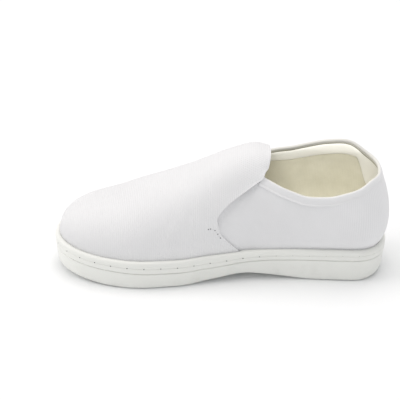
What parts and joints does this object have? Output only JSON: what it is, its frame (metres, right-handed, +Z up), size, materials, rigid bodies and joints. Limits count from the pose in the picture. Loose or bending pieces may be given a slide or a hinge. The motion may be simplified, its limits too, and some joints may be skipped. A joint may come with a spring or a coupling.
{
  "type": "slip-on work shoe",
  "caption": "Low slip-on anti-static work shoe for the right foot: moulded cup sole, hollow leather-like upper with a bound collar and a vamp that ends in a tongue flap.",
  "frame": {"origin": "on the floor under the middle of the shoe's box", "axes": "+X from heel to toe, +Y to the inner side of the foot, +Z up"},
  "size_m": [0.2855, 0.1054, 0.109],
  "materials": {
    "sole_white": "satin moulded polyurethane",
    "insole_beige": "matt woven",
    "upper_white": "fine grained, soft sheen",
    "vamp_white": "fine grained, soft sheen",
    "binding_white": "smooth folded strip"
  },
  "bodies": {
    "root": {"outsole": "sole_white", "insole": "insole_beige", "upper": "upper_white", "vamp": "vamp_white", "collar_binding": "binding_white"}
  },
  "joints": []
}
